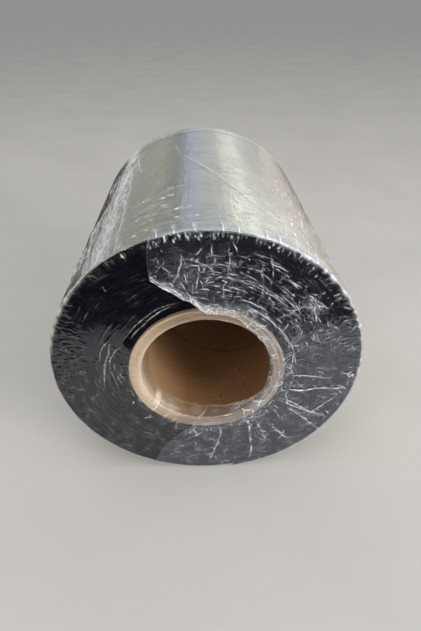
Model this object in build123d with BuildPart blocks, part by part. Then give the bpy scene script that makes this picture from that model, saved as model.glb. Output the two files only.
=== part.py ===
"""A roll of foil-faced bitumen flashing tape on a cardboard core, shrouded in clear stretch film.

Millimetres. The roll lies on its side with its axis along Y and its front end towards -Y,
+Z is up, and the origin is on the bore's axis at the middle of the roll's width.
"""

import os
from math import acos, atan2, cos, degrees, radians, sin

from build123d import *

# The tape: its width, and one turn's thickness with foil, bitumen and release film.
tape_width = 200.0
tape_thickness = 1.85

# The wound roll: its largest radius, which is at the tail.
outer_radius = 90.0

# How far the wound turns wander sideways, so that they stand a little in or out at both ends,
# and how many of them stand level as one land, their joint closed by the soft bitumen.
turn_wander = 0.45
wander_step = 143.0
turns_in_land = 2

# The cardboard core: a 76 mm tube, which stands a little out of the tape at both ends.
core_bore_radius = 38.0
core_wall = 7.0
core_proud = 2.0
winding_clearance = 0.1

# The stretch film: several clinging layers as one skin, the gap under it, how wide it slopes
# from the tape's end up to the core's rim, and how deep it is tucked into the bore.
film_thickness = 0.1
film_slack = 0.1
film_slope_width = 6.0
film_tuck = 26.0

core_outer_radius = core_bore_radius + core_wall
core_length = tape_width + 2 * core_proud

# The roll lies as it comes to rest, on the stretch that the film bridges from the tail's edge to
# the turn below. That stretch is level where the tail ends at this angle, seen from the front
# and counted from +X towards +Z.
film_reach = outer_radius + film_slack + film_thickness
tail_angle = degrees(acos((film_reach - tape_thickness) / film_reach)) - 90


def direction(angle):
    """The unit vector at an angle in degrees, from X towards Z."""
    return Vector(cos(radians(angle)), sin(radians(angle)))


def spiral_arcs(stand_off=0.0):
    """Centre, radius and start angle of the four quarter arcs that draw the outermost turn.

    The turn is a spiral that loses one thickness in a turn. Each arc runs on from the last in
    line with it, because the centres are the corners of a square with a quarter of the
    thickness as its side.
    """
    drop = tape_thickness / 4
    centre = -(direction(tail_angle + 90) + direction(tail_angle + 180)) * drop / 2
    radius = outer_radius - drop / 2 + stand_off
    arcs = []
    for quarter in range(4):
        start = tail_angle + 90 * quarter
        arcs.append((centre, radius, start))
        centre = centre + direction(start + 90) * drop
        radius -= drop
    return arcs


def draw_wound_edges():
    """The tape seen from the front: the spiral, closed by the tail's square-cut end."""
    arcs = spiral_arcs()
    for centre, radius, start in arcs:
        CenterArc(centre, radius, start, 90)
    centre, radius, start = arcs[0]
    tail_top = centre + direction(start) * radius
    Line(tail_top, tail_top - direction(start) * tape_thickness)


def draw_film_edges(stand_off):
    """The film pulled tight round the spiral, off it by stand_off, and straight past the tail."""
    *arcs, last = spiral_arcs(stand_off)
    for centre, radius, start in arcs:
        CenterArc(centre, radius, start, 90)
    centre, radius, start = arcs[0]
    tail_top = centre + direction(start) * radius
    centre, radius, start = last
    reach = tail_top - centre
    touch = degrees(atan2(reach.Y, reach.X) - acos(radius / reach.length))
    CenterArc(centre, radius, start, (touch - start) % 360)
    Line(centre + direction(touch) * radius, tail_top)


def turn_shift(land):
    """How far a land's turns are shifted along the axis, counted from the outermost land."""
    return turn_wander * sin(radians(wander_step * land))


def draw_turn_ends():
    """Half a section through the wound tape, whose turns stand as stepped lands on both ends.

    A turn keeps its width, so where it stands out at one end it stands back at the other.
    """
    wound_depth = outer_radius - core_outer_radius - winding_clearance
    turns = int(wound_depth / tape_thickness)
    lands = turns // turns_in_land
    outside = outer_radius + tape_thickness
    front = []
    back = []
    for land in range(lands):
        inside = outer_radius - tape_thickness * (turns_in_land * (land + 1) + 0.5)
        if land == lands - 1:
            inside = core_outer_radius + winding_clearance
        for side, middle in ((front, -tape_width / 2), (back, tape_width / 2)):
            side += [(outside, middle + turn_shift(land)), (inside, middle + turn_shift(land))]
        outside = inside
    Polyline(*front, *reversed(back), close=True)


def draw_film_collar():
    """Section of the film where it slopes up over the core's rim and is tucked into the bore."""
    slope_start = core_outer_radius + film_slope_width
    under_cover = tape_width / 2 + turn_wander + film_slack
    under_rim = core_length / 2 + film_slack
    bore_side = core_bore_radius - film_slack
    Polyline(
        (slope_start, under_cover),
        (core_outer_radius, under_rim),
        (bore_side, under_rim),
        (bore_side, under_rim - film_tuck),
        (bore_side - film_thickness, under_rim - film_tuck),
        (bore_side - film_thickness, under_rim + film_thickness),
        (core_outer_radius, under_rim + film_thickness),
        (slope_start, under_cover + film_thickness),
        close=True,
    )


# The wound tape: the spiral outline through the whole width, kept where the turned section is.
with BuildPart() as tape_roll:
    with BuildSketch(Plane.XZ):
        with BuildLine():
            draw_wound_edges()
        make_face()
    extrude(amount=tape_width / 2 + turn_wander, both=True)
    with BuildSketch(Plane.XY):
        with BuildLine():
            draw_turn_ends()
        make_face()
    revolve(axis=Axis.Y, mode=Mode.INTERSECT)

# The cardboard core, cut square.
with BuildPart() as cardboard_core:
    with BuildSketch(Plane.XZ):
        Circle(core_outer_radius)
        Circle(core_bore_radius, mode=Mode.SUBTRACT)
    extrude(amount=core_length / 2, both=True)

# The stretch film: a thin can round the roll, which bridges the tail's step in a straight line,
# open at both ends round the bore, with a collar over each rim of the core.
with BuildPart() as stretch_film:
    cover = tape_width / 2 + turn_wander + film_slack
    with BuildSketch(Plane.XZ):
        with BuildLine():
            draw_film_edges(film_slack + film_thickness)
        make_face()
    extrude(amount=cover + film_thickness, both=True)
    with BuildSketch(Plane.XZ):
        with BuildLine():
            draw_film_edges(film_slack)
        make_face()
    extrude(amount=cover, both=True, mode=Mode.SUBTRACT)
    with BuildSketch(Plane.XZ):
        Circle(core_outer_radius + film_slope_width)
    extrude(amount=cover + film_thickness, both=True, mode=Mode.SUBTRACT)
    with BuildSketch(Plane.XY):
        with BuildLine():
            draw_film_collar()
        make_face()
        mirror(about=Plane.XZ)
    revolve(axis=Axis.Y)

os.makedirs("parts", exist_ok=True)
tape_roll.part.label = "tape_roll"
export_step(tape_roll.part, "parts/tape_roll.step")
cardboard_core.part.label = "cardboard_core"
export_step(cardboard_core.part, "parts/cardboard_core.step")
stretch_film.part.label = "stretch_film"
export_step(stretch_film.part, "parts/stretch_film.step")
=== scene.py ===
from math import acos, atan2, cos, degrees, hypot, pi, radians, sin, sqrt

import bpy
import numpy as np
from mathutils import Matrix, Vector


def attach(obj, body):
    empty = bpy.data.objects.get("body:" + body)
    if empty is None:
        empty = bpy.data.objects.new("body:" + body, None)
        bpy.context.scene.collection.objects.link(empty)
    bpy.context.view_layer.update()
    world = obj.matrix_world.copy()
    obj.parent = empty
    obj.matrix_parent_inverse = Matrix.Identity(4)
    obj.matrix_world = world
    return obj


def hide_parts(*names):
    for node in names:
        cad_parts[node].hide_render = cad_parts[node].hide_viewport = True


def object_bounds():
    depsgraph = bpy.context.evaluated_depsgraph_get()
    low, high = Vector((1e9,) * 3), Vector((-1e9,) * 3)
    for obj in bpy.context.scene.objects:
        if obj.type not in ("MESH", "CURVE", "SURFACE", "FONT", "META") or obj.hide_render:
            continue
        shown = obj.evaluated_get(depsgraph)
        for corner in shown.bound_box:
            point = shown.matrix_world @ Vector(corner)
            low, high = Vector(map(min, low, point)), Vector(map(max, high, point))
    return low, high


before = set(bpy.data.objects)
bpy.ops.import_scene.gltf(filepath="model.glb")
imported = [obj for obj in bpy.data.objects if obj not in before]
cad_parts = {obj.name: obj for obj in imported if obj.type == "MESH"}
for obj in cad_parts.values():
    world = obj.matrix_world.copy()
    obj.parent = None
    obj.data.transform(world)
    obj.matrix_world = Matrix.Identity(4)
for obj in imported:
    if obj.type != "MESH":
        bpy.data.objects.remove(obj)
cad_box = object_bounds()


# Camera: it stood just above the roll's front end and close to it. Its place and focal length come
# from a pinhole fit to the outlines of the roll and of its core.
picture_width = 421
picture_height = 631
focal_pixels = 451.0
camera_place = (-0.0039, -0.2958, 0.1794)
camera_pitch = 35.44
camera_yaw = 1.78

lens_data = bpy.data.cameras.new("camera")
lens_data.sensor_width = 36
lens_data.lens = focal_pixels * lens_data.sensor_width / picture_height
lens_data.clip_start = 0.01
camera = bpy.data.objects.new("camera", lens_data)
camera.location = camera_place
camera.rotation_euler = (radians(90 - camera_pitch), 0, radians(-camera_yaw))
bpy.context.scene.collection.objects.link(camera)
bpy.context.scene.camera = camera


# The core: a tube of brown kraft board, rolled from paper plies and glued, with the ply's seam
# running round its bore as a slow helix. It was sawn to length, so its rims are a little furry.
mm = 0.001
core_bore = 38.0
core_outside = 45.0
core_half = 102.0
rim_round = 1.3
outer_round = 0.6
core_columns = 240
ply_thickness = 0.9
seam_pitch = 115.0
seam_start = -61.7


def linear(colour, alpha=1.0):
    """A colour written as an sRGB hex value, turned linear."""
    parts = [int(colour[k:k + 2], 16) / 255 for k in (1, 3, 5)]
    return tuple(p / 12.92 if p <= 0.04045 else ((p + 0.055) / 1.055) ** 2.4 for p in parts) + (alpha,)


def add(tree, kind, feeds=None, out=0, stops=(), **settings):
    """Adds a node with its settings and links, and gives one of its outputs. feeds has values or other
    nodes' outputs for its inputs, in order or by name, and stops a colour ramp's places and hex values."""
    node = tree.nodes.new("ShaderNode" + kind)
    for name, value in settings.items():
        setattr(node, name, value)
    for name, value in feeds.items() if isinstance(feeds, dict) else enumerate(feeds or ()):
        if isinstance(value, bpy.types.NodeSocket):
            tree.links.new(value, node.inputs[name])
        else:
            node.inputs[name].default_value = value
    while stops and len(node.color_ramp.elements) < len(stops):
        node.color_ramp.elements.new(0.5)
    for k, (position, colour) in enumerate(stops):
        node.color_ramp.elements[k].position = position
        node.color_ramp.elements[k].color = linear(colour)
    return node.outputs[out] if node.outputs else node


def start_material(name):
    """A new material, its empty node tree, and the place of a point on the piece."""
    material = bpy.data.materials.new(name)
    material.use_nodes = True
    material.node_tree.nodes.clear()
    return material, material.node_tree, add(material.node_tree, "TexCoord", out="Object")


def round_axis(tree, place):
    """The parts x, y and z of a place, and its angle round the roll's axis in radians."""
    x, y, z = add(tree, "SeparateXYZ", {"Vector": place}).node.outputs
    return x, y, z, add(tree, "Math", (z, x), operation="ARCTAN2")


def drawn_out(tree, detail, *stretch, **more):
    """Noise drawn out into lines: stretch gives a value and how many lumps it has to a unit, per axis."""
    spot = {}
    for axis, (value, lumps) in zip("XYZ", stretch):
        spot[axis] = add(tree, "Math", (value, lumps), operation="MULTIPLY")
    spot = add(tree, "CombineXYZ", spot)
    return add(tree, "TexNoise", {"Vector": spot, "Scale": 1.0, "Detail": detail, **more})


def make_piece(name, points, faces, materials, face_material=None, values=None):
    """A mesh object from points in millimetres and faces, with float values kept per point."""
    mesh = bpy.data.meshes.new(name)
    mesh.from_pydata((np.asarray(points) * mm).tolist(), [], faces)
    for material in materials:
        mesh.materials.append(material)
    if face_material is not None:
        mesh.polygons.foreach_set("material_index", face_material)
    for label, numbers in (values or {}).items():
        layer = mesh.attributes.new(label, "FLOAT", "POINT")
        layer.data.foreach_set("value", np.asarray(numbers, dtype=np.float32).ravel())
    mesh.shade_smooth()
    mesh.update()
    piece = bpy.data.objects.new(name, mesh)
    bpy.context.scene.collection.objects.link(piece)
    return piece


def value_noise(x, y, seed):
    """Smooth noise from -1 to 1 at points x, y, one lump to a unit."""
    lumps = np.random.default_rng(seed).uniform(-1, 1, (64, 64))
    x, y = np.broadcast_arrays(np.asarray(x, float), np.asarray(y, float))
    left, low = np.floor(x).astype(int), np.floor(y).astype(int)
    fx, fy = x - left, y - low
    fx, fy = fx * fx * (3 - 2 * fx), fy * fy * (3 - 2 * fy)
    a, b = lumps[left % 64, low % 64], lumps[(left + 1) % 64, low % 64]
    c, d = lumps[left % 64, (low + 1) % 64], lumps[(left + 1) % 64, (low + 1) % 64]
    return (a * (1 - fx) + b * fx) * (1 - fy) + (c * (1 - fx) + d * fx) * fy


def core_section():
    """Half a section through the board, from mid-bore round both rims, as (radius, place)."""
    bore = [(core_bore, y) for y in np.linspace(0, core_half - rim_round, 16)]
    inner = [(core_bore + rim_round * (1 - cos(a)), core_half - rim_round * (1 - sin(a)))
             for a in np.linspace(0, pi / 2, 5)[1:]]
    rim = [(r, core_half) for r in np.linspace(core_bore + rim_round, core_outside - outer_round, 12)[1:]]
    outer = [(core_outside - outer_round * (1 - sin(a)), core_half - outer_round * (1 - cos(a)))
             for a in np.linspace(0, pi / 2, 4)[1:]]
    side = [(core_outside, y) for y in np.linspace(core_half - outer_round, 0, 8)[1:]]
    half = bore + inner + rim + outer + side
    return half + [(r, -y) for r, y in reversed(half)][1:-1]


def wind_core():
    """The tube's mesh: the section turned round the axis, its sawn rims and bore a little uneven."""
    section = np.array(core_section())
    angle = np.linspace(0, 2 * pi, core_columns, endpoint=False)[:, None]
    radius, place = section[None, :, 0], section[None, :, 1]
    end = (np.abs(place) > core_half - 2 * rim_round)
    rough = 0.10 * value_noise(angle * 14, radius * 1.1, 11)
    rough = rough + 0.05 * value_noise(angle * 60, radius * 2.3, 12)
    ply = 0.05 * np.sin(radius * 2 * pi / ply_thickness)
    place = place - np.sign(place) * end * (np.abs(rough) + np.abs(ply))
    dent = 0.10 * value_noise(angle * 5, place / 30, 13) * (radius < core_bore + 0.5)
    radius = radius + np.abs(dent)
    points = np.stack([radius * np.cos(angle), place + 0 * angle, radius * np.sin(angle)], -1)
    rows = section.shape[0]
    faces = []
    for i in range(core_columns):
        k = (i + 1) % core_columns
        for j in range(rows):
            n = (j + 1) % rows
            faces.append((i * rows + j, i * rows + n, k * rows + n, k * rows + j))
    return points.reshape(-1, 3), faces


def kraft_board():
    """Kraft board, rolled and sawn: warm brown with long paper fibres, a few dark flecks, pale plies
    at the sawn rim and a dark seam line, dull all over, so that it takes light softly."""
    material, tree, place = start_material("kraft_board_sawn")
    x, y, _, turn = round_axis(tree, place)
    across = add(tree, "VectorMath", (place, (1, 0, 1)), operation="MULTIPLY")
    radius = add(tree, "VectorMath", (across,), out="Value", operation="LENGTH")
    # Fibres are 1 to 3 mm long and a tenth as wide; drawn at 4 mm so that they show.
    fibres = drawn_out(tree, 5.0, (turn, 6.0), (y, 900.0), (radius, 900.0))
    cloud = add(tree, "TexNoise", {"Vector": place, "Scale": 38.0, "Detail": 3.0})
    cloud = add(tree, "MapRange", (cloud, 0.4, 0.75, 0.0, 0.35))
    flecks = add(tree, "TexNoise", {"Vector": place, "Scale": 420.0, "Detail": 1.0})
    flecks = add(tree, "MapRange", (flecks, 0.70, 0.78))
    # The sawn rim shows the plies, paler than the bore.
    plies = add(tree, "Math", (radius, 2 * pi / (ply_thickness * mm)), operation="MULTIPLY")
    plies = add(tree, "Math", (plies,), operation="SINE")
    plies = add(tree, "MapRange", (plies, -1.0, 1.0, 0.0, 0.55))
    rim_tone = add(tree, "MixRGB", (plies, linear("#88745d"), linear("#705b44")))
    depth = add(tree, "Math", (y,), operation="ABSOLUTE")
    at_rim = add(tree, "MapRange", (depth, 0.1000, 0.1016))
    # Painted light: the board is drawn pale on the left of its front opening, most at the rim, as if lit
    # from the right.
    leftward = add(tree, "MapRange", (x, -0.012, -0.036))
    forward = add(tree, "MapRange", (y, -0.045, -0.100))
    painted_light_left_mouth = add(tree, "Math", (leftward, forward), operation="MULTIPLY")
    painted_light_left_mouth = add(tree, "Math", (painted_light_left_mouth, 0.7), operation="MULTIPLY")
    # The seam: a butt joint half a millimetre wide along a helix.
    seam = add(tree, "Math", (turn, seam_pitch * mm / (2 * pi)), operation="MULTIPLY")
    seam = add(tree, "Math", (y, seam), operation="ADD")
    for amount, operation in ((-seam_start, "ADD"), (seam_pitch / 2, "ADD"), (seam_pitch, "FLOORED_MODULO"),
                              (seam_pitch / 2, "SUBTRACT")):
        seam = add(tree, "Math", (seam, amount * mm), operation=operation)
    seam = add(tree, "Math", (seam,), operation="ABSOLUTE")
    seam = add(tree, "MapRange", (seam, 0.0002, 0.0007, 0.8, 0.0))
    in_bore = add(tree, "Math", (1.0, at_rim), operation="SUBTRACT")
    seam = add(tree, "Math", (seam, in_bore), operation="MULTIPLY")
    browns = ((0.3, "#7d5a3a"), (0.55, "#846140"), (0.75, "#8d6947"))
    colour = add(tree, "ValToRGB", (fibres,), stops=browns)
    for share, tone in ((flecks, linear("#4a3320")), (cloud, linear("#6d4c2f")), (at_rim, rim_tone),
                        (painted_light_left_mouth, linear("#c9ad89")), (seam, linear("#3a2513"))):
        colour = add(tree, "MixRGB", (share, colour, tone))
    height = add(tree, "Math", (fibres, seam), operation="SUBTRACT")
    bump = add(tree, "Bump", {"Strength": 0.2, "Distance": 0.0002, "Height": height})
    rough = add(tree, "MapRange", (fibres, 0.0, 1.0, 0.78, 0.92))
    surface = add(tree, "BsdfPrincipled", {
        "Base Color": colour, "Normal": bump, "IOR": 1.47, "Specular IOR Level": 0.35, "Roughness": rough})
    add(tree, "OutputMaterial", {"Surface": surface})
    return material


core = make_piece("core_tube", *wind_core(), [kraft_board()])
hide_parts("cardboard_core")
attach(core, "root")


# The tape: bitumen compound two millimetres thick with aluminium foil on its outside, wound tight
# round the core in 24 turns. It was slit with knives, so its ends show every turn as a fine step,
# with the soft compound squeezed a little over the foil, and it ends in a square-cut tail.
turns = 24
wound_outside = 90.0
wound_inside = 45.1
turn_thickness = (wound_outside - wound_inside) / turns
tail_step = 1.85
tail_reach = 90.2
end_half = 100.0
turn_wander = 0.36
wander_step = 71.5
tail_angle = degrees(acos((tail_reach - tail_step) / tail_reach)) - 90
around = 288
steps_in_turn = 5
foil_rows = 56


def tape_radius(share, depth):
    """Radius at a share of the way round from the tail, so many turns deep."""
    whole = wound_outside - turn_thickness * (share + depth)
    last = wound_outside - turn_thickness * (share + turns - 1)
    return np.where(depth <= turns - 1, whole, last + (wound_inside - last) * (depth - turns + 1))


def turn_shift(number):
    """How far a turn wandered sideways, counted from the outermost."""
    return turn_wander * np.sin(radians(wander_step) * (number + 0.5))


def end_relief(share, depth, seed):
    """How far the slit end stands out: each turn's own shift, a groove at each joint, and smears."""
    within = depth - np.floor(depth)
    number = np.floor(depth) + share
    shift = turn_shift(number)
    shift = np.where(within < 0.01, (shift + turn_shift(number - 1)) / 2, shift)
    groove = np.where(within < 0.01, 0.12, np.where(within > 0.75, 0.03, 0.0))
    closed = np.clip(0.6 + 0.8 * value_noise(share * 37, depth * 0.9, seed), 0.1, 1.0)
    smear = 0.05 * value_noise(share * 90, depth * 1.7, seed + 1)
    return shift - groove * closed + (smear + 0.04 * value_noise(share * 23, depth * 0.5, seed + 2))


def wind_tape():
    """The wound tape as one closed mesh: both slit ends on a spiral grid, the foil outside, the
    tail's cut and the inside against the core. Gives points, faces, materials and values."""
    rows = turns * steps_in_turn + 1
    share = (np.arange(around) / around)[:, None]
    depth = (np.arange(rows) / steps_in_turn)[None, :]
    angle = radians(tail_angle) + share * 2 * pi
    ragged = np.exp(-depth * 4) * 0.22 * value_noise(share * 150, 0 * depth, 31)
    out = tape_radius(share, depth) + ragged
    points, depths = [], []
    for side, seed in ((-1, 21), (1, 41)):
        relief = end_relief(share, depth, seed)
        # A turn keeps its width, so at the back it stands in where it stands out in front.
        if side > 0:
            relief = relief - 2 * turn_shift(np.floor(depth) + share)
        place = side * (end_half + relief - np.exp(-depth * 5) * 0.30)
        points.append(np.stack([out * np.cos(angle), place, out * np.sin(angle)], -1).reshape(-1, 3))
        depths.append((depth + 0 * share).ravel())
    ring = around * rows

    def at(i, j, base):
        if i == around:
            i, j = 0, min(j + steps_in_turn, rows - 1)
        return base + i * rows + j

    faces, kinds = [], []
    for base in (0, ring):
        for i in range(around):
            for j in range(rows - 1):
                loop = [at(i, j, base), at(i + 1, j, base), at(i + 1, j + 1, base), at(i, j + 1, base)]
                loop = list(dict.fromkeys(loop))
                if len(loop) > 2:
                    faces.append(tuple(reversed(loop) if base else loop))
                    kinds.append(1)
    across = np.linspace(-1, 1, foil_rows)[None, 1:-1]
    share_out = (np.arange(around + 1) / around)[:, None]
    angle_out = radians(tail_angle) + share_out * 2 * pi
    place_out = across * (end_half - 0.9) + 0 * share_out
    soft = 0.06 * value_noise(share_out * 60, place_out / 14, 51)
    soft = soft + 0.03 * value_noise(share_out * 190, place_out / 30, 52)
    radius_out = wound_outside - turn_thickness * share_out + soft * (np.abs(across) < 0.97)
    outside = np.stack([radius_out * np.cos(angle_out), place_out, radius_out * np.sin(angle_out)], -1)
    points.append(outside.reshape(-1, 3))
    depths.append(np.zeros(outside.shape[0] * outside.shape[1]))
    middle = foil_rows - 2

    def foil(i, k):
        if k == 0:
            return at(i, 0, 0)
        if k == foil_rows - 1:
            return at(i, 0, ring)
        return 2 * ring + i * middle + k - 1

    for i in range(around):
        for k in range(foil_rows - 1):
            faces.append((foil(i, k), foil(i, k + 1), foil(i + 1, k + 1), foil(i + 1, k)))
            kinds.append(0)
    front = [at(0, j, 0) for j in range(steps_in_turn + 1)]
    back = [at(0, j, ring) for j in range(steps_in_turn + 1)]
    top = [foil(0, k) for k in range(foil_rows)]
    foot = [foil(around, k) for k in range(foil_rows)]
    faces.append(tuple(reversed(top + back[1:-1] + foot[::-1] + front[1:-1][::-1])))
    kinds.append(1)
    for i in range(around):
        k = (i + 1) % around
        j = rows - 1
        faces.append((at(i, j, 0), at(k, j, 0), at(k, j, ring), at(i, j, ring)))
        kinds.append(1)
    return np.concatenate(points), faces, kinds, {"turn": np.concatenate(depths)}


def bitumen_slit():
    """Bitumen compound, slit with a knife: almost black with a cold tinge, faintly shiny where the
    knife smeared it, dull in the joints, with a thin glint of foil here and there along a turn."""
    material, tree, place = start_material("bitumen_slit")
    _, y, _, turn = round_axis(tree, place)
    deep = add(tree, "Attribute", out="Fac", attribute_name="turn")
    within = add(tree, "Math", (deep,), operation="FRACT")
    # Smears run along the turns: drawn 12 mm long and under a millimetre wide.
    smears = drawn_out(tree, 6.0, (turn, 5.5), (deep, 3.0), (y, 1.0), Roughness=0.6)
    lumps = add(tree, "TexNoise", {"Vector": place, "Scale": 260.0, "Detail": 4.0})
    blacks = ((0.3, "#03040a"), (0.6, "#060a14"), (0.85, "#0b1122"))
    black = add(tree, "ValToRGB", (smears,), stops=blacks)
    # The foil's cut edge is 0.03 mm; drawn 0.15 mm wide so that it shows.
    edge = add(tree, "MapRange", (within, 0.02, 0.10, 1.0, 0.0))
    seen = add(tree, "MapRange", (smears, 0.56, 0.66))
    glint = add(tree, "Math", (edge, seen), operation="MULTIPLY")
    glint = add(tree, "Math", (glint, 0.22), operation="MULTIPLY")
    colour = add(tree, "MixRGB", (glint, black, linear("#9a9c9f")))
    height = add(tree, "Math", (smears, lumps), operation="ADD")
    bump = add(tree, "Bump", {"Strength": 0.4, "Distance": 0.0002, "Height": height})
    rough = add(tree, "MapRange", (smears, 0.0, 1.0, 0.72, 0.5))
    surface = add(tree, "BsdfPrincipled", {
        "Base Color": colour, "Normal": bump, "IOR": 1.5, "Specular IOR Level": 0.05, "Roughness": rough})
    add(tree, "OutputMaterial", {"Surface": surface})
    return material


def foil_rolled():
    """Aluminium foil, cold rolled and bonded to the compound: bright silver with fine rolling lines
    along the tape, which blur its reflections a little across the lines."""
    material, tree, place = start_material("aluminium_foil_rolled")
    x, y, _, turn = round_axis(tree, place)
    # Rolling lines are a few hundredths of a millimetre wide; drawn at half a millimetre. Winding
    # left small wrinkles along the turns and a slight waviness, and the film's pull left long ridges
    # about a millimetre wide towards the sides.
    lines = drawn_out(tree, 3.0, (turn, 1.5), (y, 1400.0))
    wrinkles = drawn_out(tree, 3.0, (turn, 11.0), (y, 420.0))
    waves = drawn_out(tree, 4.0, (turn, 30.0), (y, 26.0))
    ridges = drawn_out(tree, 2.0, (turn, 75.0), (y, 22.0))
    cloud = add(tree, "TexNoise", {"Vector": place, "Scale": 22.0, "Detail": 3.0})
    silver = add(tree, "ValToRGB", (cloud,), stops=((0.3, "#d9dad8"), (0.7, "#e6e6e3")))
    wrinkles = add(tree, "MapRange", (wrinkles, 0.52, 0.64))
    # The wrinkles lie in patches, mostly on the front half.
    ruffled = add(tree, "TexNoise", {"Vector": place, "Scale": 30.0, "Detail": 2.0})
    ruffled = add(tree, "MapRange", (ruffled, 0.40, 0.62))
    forward = add(tree, "MapRange", (y, 0.06, -0.06, 0.3, 1.8))
    ruffled = add(tree, "Math", (ruffled, forward), operation="MULTIPLY")
    wrinkles = add(tree, "Math", (wrinkles, ruffled), operation="MULTIPLY")
    ridges = add(tree, "MapRange", (ridges, 0.48, 0.68))
    sideways = add(tree, "Math", (x,), operation="ABSOLUTE")
    sideways = add(tree, "MapRange", (sideways, 0.025, 0.060, 0.10, 1.0))
    ridges = add(tree, "Math", (ridges, sideways), operation="MULTIPLY")
    height = wrinkles
    for relief, share in ((lines, 0.2), (ridges, 0.4), (waves, 1.1)):
        height = add(tree, "Math", (relief, share, height), operation="MULTIPLY_ADD")
    bump = add(tree, "Bump", {"Strength": 0.8, "Distance": 0.0003, "Height": height})
    rough = add(tree, "MapRange", (cloud, 0.0, 1.0, 0.05, 0.11))
    surface = add(tree, "BsdfPrincipled", {
        "Base Color": silver, "Metallic": 1.0, "Normal": bump, "Roughness": rough})
    add(tree, "OutputMaterial", {"Surface": surface})
    return material


tape_points, tape_faces, tape_kinds, tape_values = wind_tape()
tape_finish = [foil_rolled(), bitumen_slit()]
tape = make_piece("tape_winding", tape_points, tape_faces, tape_finish, tape_kinds, tape_values)
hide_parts("tape_roll")
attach(tape, "root")


# The film round the side: clear polyethylene stretch film, pulled tight round the roll by hand in
# clinging layers. It lies on the foil, bridges the tail's step, and has fine creases and folds.
# settled is the height below which nothing hangs, and seen_radius where picture points are taken to lie.
film_gap = 0.25
film_reach = wound_outside + film_gap
settled = -88.36
seen_radius = 90.2


def sight_line(spot):
    """The camera's place in millimetres, and the way in which it sees a point of the picture, which
    is given in pixels from the upper left corner."""
    yaw, pitch = radians(camera_yaw), radians(camera_pitch)
    ahead = np.array((sin(yaw) * cos(pitch), cos(yaw) * cos(pitch), -sin(pitch)))
    right = np.array((cos(yaw), -sin(yaw), 0))
    across = (spot[0] - picture_width / 2) / focal_pixels
    down = (spot[1] - picture_height / 2) / focal_pixels
    return np.array(camera_place) / mm, ahead + across * right - down * np.cross(right, ahead)


def seen_on_side(*spots):
    """Where points of the picture lie on the roll's side, as (angle, place) to a tenth."""
    found = []
    for spot in spots:
        eye, way = sight_line(spot)
        a = way[0] ** 2 + way[2] ** 2
        b = eye[0] * way[0] + eye[2] * way[2]
        c = eye[0] ** 2 + eye[2] ** 2 - seen_radius ** 2
        at = eye + way * (-b - sqrt(b * b - a * c)) / a
        found.append((round(degrees(atan2(at[2], at[0])), 1), round(at[1], 1)))
    return found


def turned(angle, middle):
    """An angle counted from a middle, from -180 to 180."""
    return (angle - middle + 180) % 360 - 180


def film_radius(angle):
    """Radius of the tight film at an angle in degrees: the spiral, and a straight bridge at the tail."""
    share = ((np.asarray(angle) - tail_angle) % 360) / 360
    spiral = film_reach - tail_step * share
    low = film_reach - tail_step
    bridge = degrees(acos(low / film_reach))
    before = (1 - share) * 360
    chord = low / np.cos(np.radians(np.clip(bridge - before, 0, bridge)))
    return np.where(before < bridge, np.maximum(spiral, chord), spiral)


def side_surface(angle, along):
    """Points, outward normals and radii on the roll's side at angles in degrees and places along it."""
    angle, along = np.broadcast_arrays(np.asarray(angle, float), np.asarray(along, float))
    radius = film_radius(angle)
    c, s = np.cos(np.radians(angle)), np.sin(np.radians(angle))
    return np.stack([radius * c, along, radius * s], -1), np.stack([c, 0 * c, s], -1), radius


def crease_from(surface, angle, place, lean, length, bend, pieces=3):
    """The line of a crease, worked out step by step both ways from its middle. lean is 0 along the
    turns and 90 across them, in degrees, and bend is how far it curls, in radians."""
    halves = []
    for way in (-1, 1):
        a, p, step = angle, place, length / 2 / pieces
        stops = []
        for k in range(pieces):
            turn = radians(lean) + way * bend * (k + 0.5) / pieces
            a += way * degrees(step * cos(turn) / max(float(surface(a, p)[2]), 5.0))
            p += way * step * sin(turn)
            stops.append((a, p))
        halves.append(stops)
    return halves[0][::-1] + [(angle, place)] + halves[1]


def scatter(rng, surface, count, angles, places, lean, length, width, height, milk, bend=0.3):
    """Random creases as (line, width, height, milkiness, how broken), of which only a few are strong.
    lean is a middle and a spread."""
    creases = []
    for _ in range(count):
        line = crease_from(surface, rng.uniform(*angles), rng.uniform(*places), rng.normal(*lean),
                           rng.uniform(*length), rng.normal(0, bend))
        strength = rng.uniform(0.25, 1) ** 2
        creases.append((line, rng.uniform(*width), rng.uniform(*height), milk * strength, 1.0))
    return creases


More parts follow.
